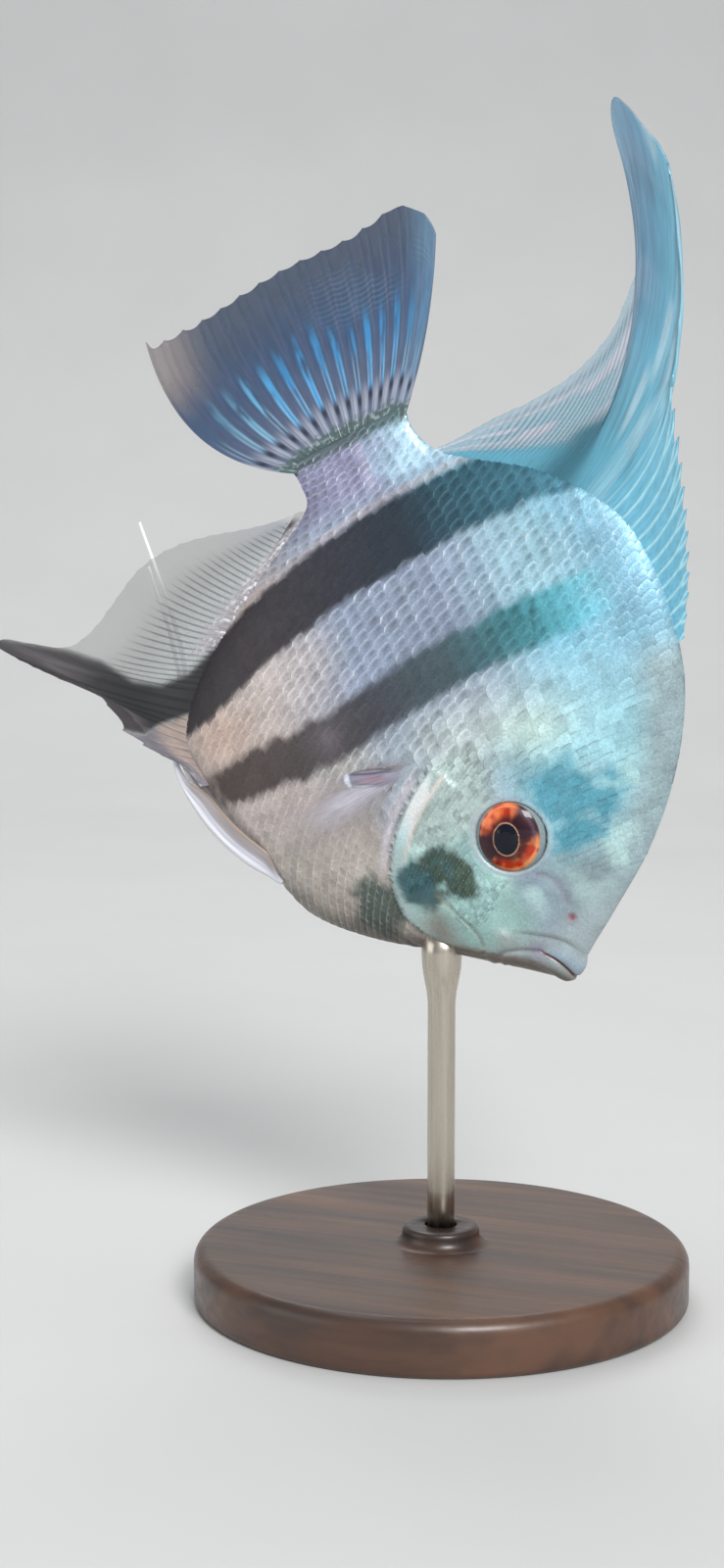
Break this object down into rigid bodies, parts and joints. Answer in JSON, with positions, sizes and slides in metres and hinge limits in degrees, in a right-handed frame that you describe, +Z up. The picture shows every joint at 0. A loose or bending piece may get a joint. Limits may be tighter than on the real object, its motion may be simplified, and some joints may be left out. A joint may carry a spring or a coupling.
{
  "type": "silver freshwater angelfish model on a display stand",
  "caption": "Life-size young silver angelfish with dark bars and swept fins, held nose down on a round display stand.",
  "frame": {"origin": "centre of the stand base's flat underside, under the rod", "axes": "+Z up, +X toward the side that the fish's back and snout face, -Y toward its right flank; the fish's middle plane is the XZ plane"},
  "size_m": [0.0821, 0.054, 0.1274],
  "materials": {
    "scaled_skin": "silver scales with a blue-green sheen and dark bars",
    "gill_plate": "smooth pearly pale turquoise bone under skin",
    "eye": "wet orange iris round a black pupil",
    "clear_fin": "thin clear membrane on fine pale rays",
    "pelvic_fin": "smooth bluish-white rays",
    "dorsal_fin": "pale turquoise rays on a clear membrane",
    "anal_fin": "smoke-grey membrane with a black streamer",
    "caudal_fin": "smoke-blue membrane with bright blue streaks",
    "stand_wood": "dark stained, satin lacquer",
    "stand_metal": "satin"
  },
  "bodies": {
    "root": {"trunk": "scaled_skin", "head": "scaled_skin", "lower_jaw": "scaled_skin", "tail_stalk": "scaled_skin", "gill_cover_right": "gill_plate", "gill_cover_left": "gill_plate", "eye_right": "eye", "eye_left": "eye", "pectoral_fin_right": "clear_fin", "pectoral_fin_left": "clear_fin", "pelvic_fin_right": "pelvic_fin", "pelvic_fin_left": "pelvic_fin", "dorsal_fin_front": "dorsal_fin", "dorsal_fin_rear": "dorsal_fin", "anal_fin": "anal_fin", "caudal_fin": "caudal_fin", "stand_base": "stand_wood", "stand_rod": "stand_metal"}
  },
  "joints": []
}
